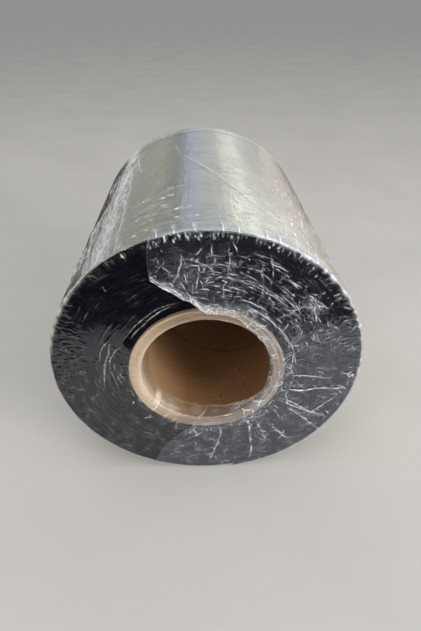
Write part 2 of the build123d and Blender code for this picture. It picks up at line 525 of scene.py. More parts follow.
def press(creases, surface, angles, places, points, lift, haze):
    """Raises each crease on the sheet as a sharp ridge that fades at its ends, and marks it milky."""
    low_row, high_row = places.min(0), places.max(0)
    for line, width, height, milk, *gaps in creases:
        line = np.array(line, float)
        gaps = gaps[0] if gaps else 0.25
        for whole_turn in (-360, 0, 360):
            across = line[:, 0] + whole_turn
            if across.max() < angles[0] or across.min() > angles[-1]:
                continue
            spot, _, radius = surface(across, line[:, 1])
            pad = degrees(1.6 * width / max(radius.min(), 10.0))
            first, last = np.searchsorted(angles, (across.min() - pad, across.max() + pad))
            lowest, highest = line[:, 1].min() - 1.6 * width, line[:, 1].max() + 1.6 * width
            rows = np.nonzero((high_row >= lowest) & (low_row <= highest))[0]
            if last <= first or not len(rows):
                continue
            block = (slice(first, last), slice(rows[0], rows[-1] + 1))
            near = points[block]
            best = np.full(near.shape[:2], 1e9)
            share = np.zeros(near.shape[:2])
            count = len(spot) - 1
            for k in range(count):
                way = spot[k + 1] - spot[k]
                t = np.clip(((near - spot[k]) @ way) / max(way @ way, 1e-9), 0, 1)
                off = np.linalg.norm(near - spot[k] - t[..., None] * way, axis=-1)
                closer = off < best
                best = np.where(closer, off, best)
                share = np.where(closer, (k + t) / count, share)
            fade = np.clip(5 * share * (1 - share), 0, 1) ** 0.7
            lift[block] += height * fade * np.clip(1 - best / width, 0, None) ** 1.1
            long = np.linalg.norm(np.diff(spot, axis=0), axis=1).sum()
            dashes = value_noise(share * long / 2.2, height * 40 + long, 7)
            uneven = np.clip(1 - 0.6 * gaps + 1.3 * gaps * dashes, 0.04, 1.5)
            mark = milk * fade * uneven * np.exp(-(best / (0.26 * width + 0.09)) ** 2)
            haze[block] = np.maximum(haze[block], mark)


def milky(haze, turn, places, centre, size, amount, seed, streak=(1.2, 3.0)):
    """A milky patch where the film is gathered or doubled, streaked by noise. centre and size are
    (angle, place); streak is the noise's lump in degrees and millimetres."""
    far = turned(turn, centre[0]) / size[0]
    near = np.exp(-far ** 2 - ((places - centre[1]) / size[1]) ** 2)
    streaks = 0.5 + 0.5 * value_noise(turn / streak[0], places / streak[1], seed)
    fine = 0.6 + 0.4 * value_noise(turn / streak[0] * 3.1, places / streak[1] * 3.3, seed + 1)
    return np.maximum(haze, amount * near * streaks * fine * 1.5)


def sheet_faces(columns, rows, closed, turned=False):
    """Quads of a grid of columns by rows, joined round when closed; turned flips their fronts."""
    i = np.arange(columns if closed else columns - 1)[:, None]
    j = np.arange(rows - 1)[None, :]
    k = (i + 1) % columns
    quads = np.stack([i * rows + j, i * rows + j + 1, k * rows + j + 1, k * rows + j], -1)
    return (quads[..., ::-1] if turned else quads).reshape(-1, 4).tolist()


def cling_film(name, clear, gloss, milk, white="#f3f4f4"):
    """Polyethylene stretch film, blown and stretched: clear, glossy, and milky where it is creased.
    Its two faces of index 1.5 mirror 8 % together, more at a slant, and as much seen from within."""
    material, tree, place = start_material(name)
    x, y, z, turn = round_axis(tree, place)
    crease, crumple, lean = [
        add(tree, "Attribute", out="Fac", attribute_name=label) for label in ("crease", "crumple", "lean")]
    across = add(tree, "CombineXYZ", {"X": x, "Y": z})
    radius = add(tree, "VectorMath", (across,), out="Value", operation="LENGTH")
    # Crumpling too fine for the mesh: short sharp strokes along the turns or across them, and curls.
    # Real ones are down to a tenth of a millimetre wide; drawn half a millimetre wide.
    strokes = []
    for per_turn, per_radius, per_place in ((9.0, 1000.0, 1000.0), (95.0, 210.0, 130.0)):
        lumps = drawn_out(tree, 2.0, (turn, per_turn), (radius, per_radius), (y, per_place), Distortion=0.7)
        strokes.append(add(tree, "MapRange", (lumps, 0.605, 0.665)))
    stroke = add(tree, "MixRGB", (lean, strokes[0], strokes[1]))
    curls = add(tree, "TexNoise", {"Vector": place, "Scale": 230.0, "Detail": 2.0, "Distortion": 0.8})
    curls = add(tree, "Math", (curls, 0.5, 0.0), operation="SUBTRACT")
    curls = add(tree, "Math", (curls,), operation="ABSOLUTE")
    curls = add(tree, "MapRange", (curls, 0.0, 0.016, 0.9, 0.0), interpolation_type="SMOOTHSTEP")
    web = add(tree, "Math", (stroke, curls), operation="MAXIMUM")
    # The ridges are strong in places only.
    patches = add(tree, "TexNoise", {"Vector": place, "Scale": 130.0, "Detail": 3.0})
    patches = add(tree, "MapRange", (patches, 0.42, 0.70))
    web = add(tree, "Math", (web, patches), operation="MULTIPLY")
    web = add(tree, "Math", (web, crumple), operation="MULTIPLY")
    fine = add(tree, "TexNoise", {"Vector": place, "Scale": 1000.0, "Detail": 2.0})
    broken = add(tree, "MapRange", (fine, 0.35, 0.60, 0.68))
    height = add(tree, "Math", (web, 1.5, fine), operation="MULTIPLY_ADD")
    strength = add(tree, "Math", (crumple, 0.10, 0.05), operation="MULTIPLY_ADD")
    bump = add(tree, "Bump", {"Strength": strength, "Distance": 0.0003, "Height": height})
    slant = add(tree, "LayerWeight", {"Blend": 0.5, "Normal": bump}, out="Facing")
    steep = add(tree, "Math", (slant, 5.0), operation="POWER")
    mirror = add(tree, "MapRange", (steep, 0.0, 1.0, 0.08, 1.0))
    through = add(tree, "BsdfTransparent", {"Color": linear(clear)})
    shine = add(tree, "BsdfAnisotropic", {"Color": linear("#eff4ff"), "Roughness": gloss, "Normal": bump})
    clear_film = add(tree, "MixShader", (mirror, through, shine))
    creased = add(tree, "BsdfPrincipled", {
        "Base Color": linear(white), "Roughness": 0.25, "IOR": 1.5, "Normal": bump})
    share = add(tree, "Math", (crease, broken, milk), operation="MULTIPLY_ADD")
    share = add(tree, "Math", (web, 0.75, share), operation="MULTIPLY_ADD")
    share = add(tree, "Clamp", {"Value": share, "Max": 0.9})
    surface = add(tree, "MixShader", (share, clear_film, creased))
    add(tree, "OutputMaterial", {"Surface": surface})
    return material


def lay_film(name, shape, material):
    points, faces, haze, crumple, lean = shape
    values = {"crease": haze, "crumple": crumple, "lean": lean}
    sheet = make_piece(name, points, faces, [material], None, values)
    sheet.visible_shadow = False
    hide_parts("stretch_film")
    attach(sheet, "root")
    return sheet


def patch(turn, places, *spots):
    """A smooth share over a sheet from spots of (angle, place, reach in degrees, reach in mm, amount)."""
    total = 0 * turn * places
    for angle, place, wide, long, amount in spots:
        far = turned(turn, angle) / wide
        total = np.maximum(total, amount * np.exp(-far ** 4 - ((places - place) / long) ** 4))
    return total


def stretch_side():
    """The side's film: where it lies, how far its creases stand and how milky they are."""
    rng = np.random.default_rng(101)
    seen, unseen = np.linspace(15, 160, 300, endpoint=False), np.linspace(160, 375, 130, endpoint=False)
    angles = np.concatenate([seen, unseen])
    turn = angles[:, None]
    places = np.linspace(-99.6, 99.6, 215)[None, :] + 0 * turn
    points, normals, _ = side_surface(turn, places)
    lift = 0.12 * np.abs(value_noise(turn / 9, places / 22, 61))
    lift = lift + 0.08 * np.abs(value_noise(turn / 2.4, places / 16, 62))
    haze = np.zeros(lift.shape)
    creases = []
    # How many, angles, places, lean, length, width, height, milkiness and bend.
    for zone in (
            (46, (94, 113), (-92, -35), (-9, 3), (6, 22), (0.7, 0.9), (0.2, 0.4), 1.2, 0.12),
            (90, (118, 152), (-98, 70), (84, 7), (15, 70), (0.9, 1.4), (0.15, 0.4), 0.55, 0.1),
            (80, (28, 62), (-98, 60), (97, 8), (15, 70), (0.9, 1.4), (0.15, 0.4), 0.55, 0.1),
            (60, (48, 76), (-96, -40), (60, 35), (5, 18), (0.8, 1.2), (0.15, 0.35), 0.7, 0.3),
            (110, (0, 360), (-95, 95), (20, 60), (8, 40), (0.9, 1.3), (0.1, 0.3), 0.35, 0.3),
            (60, (122, 150), (-97, -10), (83, 6), (14, 55), (0.8, 1.1), (0.2, 0.45), 1.3, 0.08),
            (60, (30, 58), (-97, 0), (98, 6), (14, 55), (0.8, 1.1), (0.2, 0.45), 1.3, 0.08),
            (40, (54, 80), (-94, -50), (62, 18), (5, 16), (0.8, 1.0), (0.2, 0.4), 1.3, 0.2)):
        creases += scatter(rng, side_surface, *zone)
    # The long fold that crosses the roll from its top at the back to its right at the front.
    across_roll = ((178, 152), (190, 158), (205, 166), (230, 183), (245, 194), (260, 205))
    diagonal = seen_on_side(*across_roll) + [(62.0, -72.0)]
    creases += [(diagonal, 1.3, 0.45, 0.8), ([(a - 1.2, y - 2.5) for a, y in diagonal], 1.2, 0.25, 0.4),
                ([(103, 60), (100, 30)], 1.1, 0.2, 0.3)]
    press(creases, side_surface, angles, places, points, lift, haze)
    for zone in (((63, -72), (6, 14), 0.35, 63), ((140, -40), (9, 50), 0.06, 65, (0.5, 18.0)),
                 ((40, -40), (9, 50), 0.06, 67, (0.5, 18.0)), ((34, -86), (10, 12), 0.30, 69, (0.8, 9.0))):
        haze = milky(haze, turn, places, *zone)
    points = points + normals * lift[..., None]
    points[..., 2] = np.maximum(points[..., 2], settled)
    crumple = patch(turn, places, (135, -30, 20, 80, 0.7), (46, -30, 22, 80, 0.8), (66, -75, 14, 22, 1.0),
                    (108, -66, 12, 30, 0.55))
    lean = 1 - patch(turn, places, (105, -60, 13, 60, 1.0))
    faces = sheet_faces(len(angles), places.shape[1], True)
    return points.reshape(-1, 3), faces, haze, np.maximum(crumple, 0.14), np.clip(lean, 0, 1)


side_film = cling_film("stretch_film_tight", "#fbfcfb", 0.08, 0.004, "#ffffff")
lay_film("film_side", stretch_side(), side_film)


# The film over the ends: the side's film runs on past the roll, is folded over each end, gathered
# in small puckers along the edge, and tucked into the bore over the core's rim. fold_points is its
# section as (radius, place), of which tucked_in is in the bore; seen_plane and seen_edge are where
# picture points on the front end are taken to lie, and from where their depth is counted.
seen_plane = -101.0
seen_edge = 90.6
tucked_in = 28.9
fold_points = ((90.35, 78.0), (90.35, 99.2), (90.2, 100.0), (89.4, 100.62), (51.5, 100.66), (45.6, 102.14),
               (40.0, 102.16), (38.6, 101.9), (37.86, 100.9), (37.84, 72.0))


def fold_profile():
    """The end film's section as a fine line of (radius, place) with its corners rounded, and the
    length along it, counted from the roll's edge towards the bore."""
    corners = np.array(fold_points)
    run = np.concatenate([[0], np.cumsum(np.linalg.norm(np.diff(corners, axis=0), axis=1))])
    fine = np.arange(0, run[-1], 0.1)
    line = np.stack([np.interp(fine, run, corners[:, k]) for k in (0, 1)], -1)
    kernel = np.hanning(9) / np.hanning(9).sum()
    wide = np.pad(line, ((4, 4), (0, 0)), mode="edge")
    line = np.stack([np.convolve(wide[:, k], kernel, mode="valid") for k in (0, 1)], -1)
    return line, fine - run[3]


profile, profile_run = fold_profile()
rim_run = float(profile_run[-1]) - tucked_in


def end_surface(side, stand=0.0):
    """The surface of an end's film, stand off it: side is -1 at the front and 1 at the back."""

    def surface(angle, run):
        angle, run = np.broadcast_arrays(np.asarray(angle, float), np.asarray(run, float))
        r = np.interp(run, profile_run, profile[:, 0])
        y = np.interp(run, profile_run, profile[:, 1])
        step = 0.25
        beyond, short = run + step, run - step
        dr = np.interp(beyond, profile_run, profile[:, 0]) - np.interp(short, profile_run, profile[:, 0])
        dy = np.interp(beyond, profile_run, profile[:, 1]) - np.interp(short, profile_run, profile[:, 1])
        size = np.sqrt(dr * dr + dy * dy) + 1e-9
        nr, ny = dy / size, -dr / size
        r = r + (film_radius(angle) - film_reach) * np.clip((r - 70) / 20, 0, 1) + nr * stand
        # In the bore the film stands off the wall, most on the right, where the over layer holds it.
        sunk = np.clip((run - rim_run) / 7, 0, 1)
        off_wall = 0.9 + 1.6 * np.exp(-(turned(angle, -15) / 45) ** 2)
        r = r - off_wall * sunk * sunk * (3 - 2 * sunk)
        y = y + ny * stand
        c, s = np.cos(np.radians(angle)), np.sin(np.radians(angle))
        return np.stack([r * c, side * y, r * s], -1), np.stack([nr * c, side * ny, nr * s], -1), r

    return surface


def gathered(turn, run, seed, spacing=2.4):
    """Small radial puckers where the film is folded over the edge, from 0 to about 1."""
    at = turn * pi / 180 * 90 / spacing
    wave = value_noise(at, run / 9, seed) + 0.5 * value_noise(at * 2.1, run / 6, seed + 1)
    return np.clip(np.abs(wave) * 1.3 - 0.15, 0, 1.1)


def tents(angles, milk=1.6):
    """Folds that stand up where the film is gathered over the roll's edge, from the side to the face."""
    folds = []
    for angle in angles:
        lean = angle + 0.02 * (angle - 90)
        folds += [([(lean + 0.9, -11), (lean + 0.4, -5), (angle, 0.6)], 1.9, 0.9, 0.5, 0.1),
                  ([(lean + 0.4, -6.5), (angle + 0.1, -1), (angle, 2.6)], 0.6, 0.3, milk, 0.2)]
    return folds


def finish_end(side, closed, points, normals, lift, haze, crumple, lean, run):
    """Raises an end's film by its creases, marks its free edges, and keeps it off the floor."""
    in_bore = run > rim_run - 3
    points = points + normals * (np.minimum(lift, 1.3) * np.where(in_bore, 0.25, 1.0))[..., None]
    points[..., 2] = np.maximum(points[..., 2], settled)
    edges = np.clip(1 - (run[:, -1:] - run) / 0.6, 0, 1) + 0.3 * np.clip(1 - (run - run[:, :1]) / 0.6, 0, 1)
    # The lip's edge lies flat on the bore's left wall and hardly shows there.
    hidden = 0.85 * in_bore * np.clip((-points[..., 0] - 20) / 10, 0, 1)
    haze = np.maximum(haze, 0.55 * (1 - hidden) * np.clip(edges, 0, 1))
    return points.reshape(-1, 3), sheet_faces(*run.shape, closed, side < 0), haze, crumple, lean


def bell(value, middle, reach, power=2):
    """A share that is 1 at the middle and falls away past its reach, sooner for a higher power."""
    return np.exp(-((value - middle) / reach) ** power)


def seen_on_end(*spots, first=-180):
    """Where points of the picture lie on the front end's film, as (angle from first, depth in from the
    roll's edge) to a tenth."""
    found = []
    for spot in spots:
        eye, way = sight_line(spot)
        at = eye + way * (seen_plane - eye[1]) / way[1]
        angle = (degrees(atan2(at[2], at[0])) - first) % 360 + first
        found.append((round(angle, 1), round(seen_edge - hypot(at[0], at[2]), 1)))
    return found


def cap_front():
    """The under layer over the front end."""
    rng = np.random.default_rng(201)
    surface = end_surface(-1)
    bare, covered = np.linspace(100, 252, 425, endpoint=False), np.linspace(252, 460, 130, endpoint=False)
    angles = np.concatenate([bare, covered])
    turn = angles[:, None]
    # How deep the lip is tucked into the bore, as (angle, depth).
    lip = ((100, 23), (120, 26), (150, 27), (172, 28), (188, 27), (193, 19), (204, 14), (219, 11),
           (238, 10.7), (253, 10.2), (273, 8.6), (293, 6.3), (312, 4.1), (332, 1.2), (351, 1.0),
           (370, 2.5), (390, 5), (420, 10), (440, 17), (460, 23))
    end_run = rim_run + np.interp(angles, *zip(*lip)) + 0.6 * value_noise(angles / 6, 0, 71)
    end_run = np.minimum(end_run, profile_run[-1])
    start_run = -16.5 - 1.2 * value_noise(angles / 11, 0, 72) - 0.4 * value_noise(angles / 2.5, 0, 73)
    rows = 176
    steps = np.concatenate([np.linspace(0, 0.14, 16, endpoint=False), np.linspace(0.14, 1, rows - 16)])
    run = start_run[:, None] + (end_run - start_run)[:, None] * steps[None, :]
    points, normals, radius = surface(turn, run)
    edge = np.exp(-np.abs(run) / 3.5)
    lift = 0.07 * np.abs(value_noise(points[..., 0] / 11, points[..., 2] / 11, 74))
    lift = lift + 0.26 * edge * gathered(turn, run, 75)
    ripples = bell(turn, 180, 20) * bell(radius, 79, 9)
    lift = lift + 0.24 * ripples * np.abs(value_noise(turn / 0.9, radius / 3.5, 77))
    low = bell(turn, 222, 26) * bell(radius, 86, 4)
    lift = lift + 0.25 * low * np.abs(value_noise(turn / 1.3, radius / 4, 78))
    haze = 0 * edge
    creases = []
    # How many, angles, depths in from the edge, lean, length, width, height, milkiness and bend.
    for zone in (
            (12, (113, 132), (0.8, 3.0), (92, 8), (2, 5), (0.4, 0.5), (0.2, 0.4), 1.0, 0.15),
            (70, (130, 255), (0.5, 4), (90, 16), (2, 6), (0.4, 0.5), (0.15, 0.3), 0.22, 0.3),
            (60, (150, 205), (2, 20), (80, 20), (3, 8), (0.4, 0.5), (0.12, 0.3), 0.22, 0.4),
            (60, (112, 255), (8, 36), (0, 8), (4, 16), (0.35, 0.45), (0.06, 0.15), 0.18, 0.1),
            (26, (160, 205), (36, 45), (10, 40), (3, 9), (0.4, 0.6), (0.15, 0.4), 0.6, 0.8),
            (40, (205, 262), (37, 46), (20, 50), (2, 7), (0.4, 0.6), (0.15, 0.4), 1.1, 1.1),
            (16, (150, 190), (26, 36), (0, 12), (6, 24), (0.4, 0.6), (0.1, 0.25), 0.5, 0.2),
            (150, (165, 258), (3, 38), (30, 50), (2, 8), (0.36, 0.5), (0.1, 0.3), 0.3, 0.7),
            (40, (150, 270), (44.5, 58), (80, 14), (3, 9), (0.6, 0.9), (0.2, 0.4), 0.5, 0.3),
            (14, (60, 150), (49, 52.5), (0, 2), (8, 30), (0.4, 0.5), (0.1, 0.2), 0.9, 0.05)):
        creases += scatter(rng, surface, *zone)
    # Fine rings run round the face on the upper left, as points of the picture.
    ring_folds = (((120, 341), (131, 327), (140, 319), (150, 311), (160, 306), (178, 301)),
                  ((128, 338), (133, 332), (140, 325), (150, 316), (160, 309), (172, 304)),
                  ((107, 368), (108, 360), (113, 351), (122, 344)),
                  ((102, 383), (102, 372), (102, 365), (107, 350)),
                  ((103, 390), (102, 376), (104, 362), (108, 340)))
    creases += [(seen_on_end(*spots, first=0), 0.35, 0.10, 0.6) for spots in ring_folds]
    edge_nick, rim_nick = ((99, 285), (104, 290)), ((140, 396), (146, 401), (152, 404))
    creases += [(seen_on_end(*edge_nick, first=0), 0.4, 0.3, 0.4),
                (seen_on_end(*rim_nick, first=0), 0.6, 0.3, 0.6)]
    # Radial folds over the rim's lower left: real ridges, whose strong white is partly a painted highlight.
    creases += [([(220, 44.4), (220.5, 48), (219, 52), (219.5, 56)], 1.8, 0.7, 1.3, 0.0),
                ([(232, 45), (233, 49)], 1.2, 0.4, 0.8), ([(241, 45), (241, 48.5)], 1.0, 0.4, 0.9),
                ([(212, 45), (210, 50), (207, 54)], 1.2, 0.4, 0.6)]
    creases += tents((123.8, 116.8, 130.5), 0.5)
    press(creases, surface, angles, run, points, lift, haze)
    # On the left the fold over the roll's edge stands up, and its white is partly milky film and partly a
    # painted sheen.
    crest_with_sheen = bell(run, -2.6, 2.8, 4) * bell(turn, 152, 17, 4)
    lift = lift + 0.5 * crest_with_sheen * np.abs(value_noise(turn / 2.2, run / 9, 64))
    # Over the rim the film is doubled and milky, and it bridges into the bore; its white, most on the left,
    # is partly a painted highlight.
    funnel = (0.08 + 0.20 * bell(turned(turn, 185), 0, 75, 4)) * bell(run, rim_run - 1.2, 1.9, 4)
    # Fine layer edges run round the rim, and a painted highlight lies on its lower left.
    fine_rings = value_noise(0 * turn + 3.3, run / 0.45, 68) + 0.5 * value_noise(turn / 30, run / 0.6, 67)
    on_rim = (run > rim_run - 8.2) & (run < rim_run + 1.5)
    painted_highlight_lower_left = bell(turned(turn, 196), 0, 26, 4) * np.clip((run - rim_run + 6) / 3, 0, 1) * (run < rim_run + 3)
    # Within the bore the doubled film is milky at the bottom; on the left near the opening, and in a patch
    # low on the left, painted light makes it pale.
    within = run > rim_run - 0.5
    bottom = bell(turned(turn, 262), 0, 62, 4)
    painted_light_at_opening = bell(turned(turn, 183), 0, 34, 4) * np.exp(-np.clip(run - rim_run - 1, 0, None) / 5.5)
    painted_light_pool = bell(turn, 226, 20, 4) * bell(run, rim_run + 1, 4.0, 4)
    for mark in (
            0.09 * (run < -0.8) * (0.8 + 0.5 * value_noise(turn / 3, run / 5, 79)),
            0.95 * crest_with_sheen * np.clip(0.75 + 0.6 * value_noise(turn / 1.4, run / 5, 65), 0.05, 1),
            funnel * (0.75 + 0.45 * value_noise(turn / 40, run / 0.7, 70)),
            0.55 * on_rim * np.clip(fine_rings - 0.25, 0, 1),
            0.42 * painted_highlight_lower_left * (0.9 + 0.2 * value_noise(turn / 9, run / 0.9, 66)),
            # Painted highlight: the glare where the film at the rim's lower left catches a lamp.
            0.95 * bell(turn, 217, 4.2, 4) * bell(run, rim_run + 2.5, 6.5),
            within * (0.03 + 0.10 * bottom * (1 + value_noise(turn / 9, run / 3.5, 69))),
            0.30 * within * painted_light_at_opening,
            0.50 * painted_light_pool * (0.8 + 0.4 * value_noise(turn / 6, run / 1.2, 63))):
        haze = np.maximum(haze, mark)
    crumple = patch(turn, run, (183, 8, 28, 11, 0.24), (222, 8, 30, 12, 0.4), (205, 42, 45, 6, 0.35),
                    (150, 20, 45, 40, 0.07), (235, 26, 40, 16, 0.32), (122, 3, 12, 3.5, 0.4))
    lean = patch(turn, run, (122, 0, 14, 7, 1.0), (190, 5, 45, 9, 0.6), (215, 42, 40, 10, 0.7))
    return finish_end(-1, True, points, normals, lift, haze, crumple, lean, run)


film_cap = cling_film("stretch_film_folded", "#fafbfc", 0.07, 0.002, "#eee8dd")
lay_film("film_front", cap_front(), film_cap)


# The over layer: the last flap of the film, folded over the front end on the right and torn off,
# so that its free edge runs ragged across the face and the core's rim and into the bore.
# The torn edge comes up from below, goes round in the bore, and runs down the face on the upper left.
# Its seen stretches are points of the picture, the others (angle, depth in from the roll's edge).
torn_start = [(-116, -8), (-113.4, 2), (-113.6, 5), (-114.6, 20)]
torn_below = ((168, 443), (175, 437), (190, 426))
torn_in_bore = [(-98, 52), (-87, 61.5), (-67, 58.5), (-48, 56), (-28, 53.5), (-9, 53.5), (15, 53)]
torn_above = ((266, 343), (262, 337), (256, 331), (250, 325), (243, 319), (235, 313), (214, 311), (202, 309),
              (192, 302), (182, 297), (161, 286), (149, 279))
torn_edge = torn_start + seen_on_end(*torn_below) + torn_in_bore + seen_on_end(*torn_above)

# The flap's large folds as points of the picture, each with its width, height and milkiness.
corner_folds = (
    (((179, 255), (181, 261), (176, 273), (171, 286)), 0.7, 0.5, 0.8),
    (((179, 279), (185, 288), (191, 297), (200, 305)), 0.7, 0.6, 1.0),
    (((160, 264), (169, 271)), 0.55, 0.4, 0.8), (((199, 272), (195, 290)), 0.55, 0.4, 0.7),
    (((180, 255), (197, 259), (207, 264), (215, 270)), 0.6, 0.4, 0.6),
    (((160, 286), (172, 290), (183, 297)), 0.8, 0.5, 0.8))
folds_round_face = (
    (((219, 274), (232, 276), (247, 281)), 0.6, 0.5, 1.0),
    (((247, 278), (262, 284), (275, 291), (288, 301)), 0.5, 0.4, 0.8),
    (((255, 283), (268, 291), (285, 301), (292, 307)), 0.6, 0.5, 1.0),
    (((243, 302), (255, 308), (266, 315), (277, 324), (287, 335), (293, 345), (297, 352)), 0.6, 0.45, 1.0),
    (((240, 297), (258, 303), (270, 311)), 0.6, 0.45, 0.9),
    (((283, 306), (293, 311), (303, 318)), 0.5, 0.4, 0.7),
    (((272, 260), (281, 265), (291, 270)), 0.5, 0.4, 0.9))
folds_down_face = (
    (((230, 243), (230, 260), (228, 275), (224, 284), (224, 297)), 0.55, 0.4, 0.6),
    (((234, 237), (238, 250)), 0.6, 0.4, 0.8), (((262, 262), (264, 280), (262, 298)), 0.5, 0.35, 0.5),
    (((271, 248), (274, 262), (275, 277)), 0.55, 0.4, 0.8), (((213, 240), (211, 254)), 0.5, 0.4, 0.7),
    (((280, 317), (290, 313), (300, 307), (312, 303), (320, 310)), 1.1, 0.5, 0.7))
folds_at_right = (
    (((292, 375), (312, 375), (325, 378)), 0.6, 0.4, 0.8),
    (((309, 347), (336, 339), (361, 337)), 0.5, 0.35, 0.4),
    (((279, 389), (300, 391), (322, 388), (345, 387)), 0.9, 0.7, 1.0),
    (((277, 396), (295, 403), (310, 411), (328, 418)), 0.8, 0.6, 1.0),
    (((280, 400), (300, 408), (312, 412)), 0.8, 0.5, 0.8),
    (((288, 408), (304, 418), (318, 428)), 0.6, 0.5, 1.0),
    (((312, 413), (328, 402), (342, 391)), 0.6, 0.4, 0.8))
folds_below = (
    (((246, 415), (249, 422), (251, 442), (249, 460)), 0.9, 0.55, 0.8),
    (((255, 417), (262, 432), (266, 442)), 0.6, 0.4, 0.7),
    (((222, 427), (219, 439), (214, 451), (209, 462)), 0.8, 0.5, 0.6),
    (((272, 427), (280, 432), (290, 441)), 0.6, 0.4, 0.6),
    (((195, 424), (193, 431), (197, 436)), 0.6, 0.4, 0.5),
    (((347, 373), (352, 376), (357, 374)), 0.8, 0.7, 1.0))
flap_folds = corner_folds + folds_round_face + folds_down_face + folds_at_right + folds_below


def kinked(line, rng, amount=0.18):
    """A fold's line with small kinks in it."""
    line = np.array(line, float)
    fine = np.linspace(0, len(line) - 1, 3 * (len(line) - 1) + 1)
    path = np.stack([np.interp(fine, np.arange(len(line)), line[:, k]) for k in (0, 1)], -1)
    kinks = rng.normal(0, amount, path.shape)
    kinks[[0, -1]] = 0
    return path + kinks


def cap_over():
    """The over layer on the front end, from its margin on the side to its torn edge."""
    rng = np.random.default_rng(301)
    surface = end_surface(-1, 0.22)
    angles = np.linspace(-116, 114.1, 620)
    turn = angles[:, None]
    end_run = np.interp(angles, *zip(*torn_edge))
    end_run = end_run + 0.7 * value_noise(angles / 3, 0, 81) + 0.55 * value_noise(angles / 1.1, 0, 82)
    end_run = np.maximum(end_run, -8.5)
    start_run = -10.5 - 1.5 * value_noise(angles / 9, 0, 83) - 0.7 * value_noise(angles / 2.2, 0, 84)
    cut_off = np.interp(angles, (106.6, 107.4, 109.6, 112.7, 114.1), (-12, -2.8, 4.1, 14.1, 20.7))
    start_run = np.maximum(start_run, cut_off)
    rows = 154
    steps = np.concatenate([np.linspace(0, 0.14, 9, endpoint=False), np.linspace(0.14, 1, rows - 9)])
    run = start_run[:, None] + (end_run - start_run)[:, None] * steps[None, :]
    points, normals, _ = surface(turn, run)
    edge = np.exp(-np.abs(run) / 3.5)
    lift = 0.10 * np.abs(value_noise(points[..., 0] / 9, points[..., 2] / 9, 85))
    lift = lift + 0.22 * edge * gathered(turn, run, 86, 2.0)
    crumpled = np.clip(1.2 - np.abs(turn - 50) / 60, 0, 1) * (run > 1)
    lift = lift + 0.07 * crumpled * np.abs(value_noise(points[..., 0] / 2.4, points[..., 2] / 2.4, 87))
    haze = 0 * edge
    creases = []
    for spots, width, height, milk in flap_folds:
        line = seen_on_end(*spots)
        low = line[0][0] < 0
        line = kinked(line, rng, 0.32 if low else 0.18)
        creases.append((line, width * (1.5 if low else 1.0), height, milk, 0.5))
        # The strong folds low on the right branch like roots.
        for _ in range(7 if low else 0):
            root = line[rng.integers(len(line))]
            branch = crease_from(surface, *root, rng.normal(90, 38), rng.uniform(3, 12), rng.normal(0, 0.4))
            creases.append((branch, 0.45, 0.3, rng.uniform(0.3, 1.0), 0.6))
    # The torn edge is rolled over, so that finer edges run beside it.
    for inward, milk in ((0.9, 1.3), (1.8, 1.0), (2.7, 1.1), (4.0, 0.6)):
        beside = [(angle, depth - inward) for angle, depth in torn_edge if angle > 66]
        creases.append((kinked(beside, rng, 0.45), 0.5, 0.35, milk, 0.8))
    # How many, angles, depths in from the edge, lean, length, width, height, milkiness and bend.
    for zone in (
            (62, (56, 113), (0.4, 2.8), (92, 8), (1.6, 5.0), (0.36, 0.42), (0.2, 0.4), 1.5, 0.15),
            (130, (12, 108), (6, 36), (20, 60), (1.5, 6), (0.35, 0.5), (0.15, 0.5), 0.9, 0.6),
            (110, (18, 94), (12, 42), (-3, 7), (4, 15), (0.35, 0.45), (0.15, 0.4), 1.15, 0.12),
            (55, (85, 112), (10, 42), (50, 60), (2, 8), (0.36, 0.5), (0.15, 0.4), 1.1, 0.5),
            (130, (-40, 25), (2, 42), (80, 25), (3, 14), (0.35, 0.6), (0.1, 0.3), 0.6, 0.4),
            (60, (-112, -40), (4, 44), (75, 35), (3, 12), (0.4, 0.7), (0.1, 0.3), 0.45, 0.4),
            (40, (-30, 58), (0.5, 5), (80, 24), (2, 7), (0.4, 0.5), (0.2, 0.45), 0.9, 0.2),
            (120, (-62, 62), (43, 57), (30, 45), (3, 11), (0.45, 0.65), (0.3, 0.6), 1.6, 0.9),
            (30, (-30, 75), (37, 46), (0, 10), (8, 24), (0.35, 0.5), (0.2, 0.4), 0.9, 0.1),
            (16, (35, 43), (13, 20), (40, 60), (2, 5), (0.4, 0.6), (0.3, 0.6), 1.7, 0.4),
            (80, (-102, 20), (38, 47), (70, 50), (2, 7), (0.4, 0.5), (0.15, 0.4), 1.1, 0.9)):
        creases += scatter(rng, surface, *zone)
    creases += tents((110.8, 105.0, 99.5, 93.3, 84.6, 79.8, 70.8, 66.5, 60.0, 52.0))
    press(creases, surface, angles, run, points, lift, haze)
    for zone in (((92, 27), (20, 13), 0.08, 809, (4.0, 6.0)), ((72, 43), (24, 4), 0.30, 811),
                 ((48, 47), (24, 5), 0.17, 813, (6.0, 0.7)), ((5, 50), (38, 6), 0.10, 815, (7.0, 0.7)),
                 ((-44, 51), (26, 5), 0.10, 817, (5.0, 0.7)), ((39, 17), (4, 3), 0.5, 819, (0.5, 0.7)),
                 ((100, 25), (10, 14), 0.12, 821)):
        haze = milky(haze, turn, run, *zone)
    # The rim's right side lies under several layers, whose edges show as veins.
    layers = bell(turn, 0, 62, 4) * np.clip((run - 45) / 2.5, 0, 1)
    veins = bell(value_noise(turn / 7 + run / 5, run / 2.0, 825), 0, 0.14)
    veins = veins + 0.7 * bell(value_noise(turn / 3 - run / 4, run / 2.8, 826), 0, 0.12)
    clumps = np.clip(0.35 + 1.7 * value_noise(turn / 8, run / 3.5, 828), 0.08, 1.3)
    # The fold over the roll's edge stands up on the right, and its white is partly milky film and partly a
    # painted sheen.
    crest_with_sheen = bell(run, -0.9, 1.2) * bell(turn, 30, 40, 4)
    uneven = np.clip(0.45 + 0.9 * value_noise(turn / 1.6, 0 * run, 827), 0.1, 1)
    lift = lift + 0.9 * crest_with_sheen * np.abs(value_noise(turn / 2.6, 0 * run, 829))
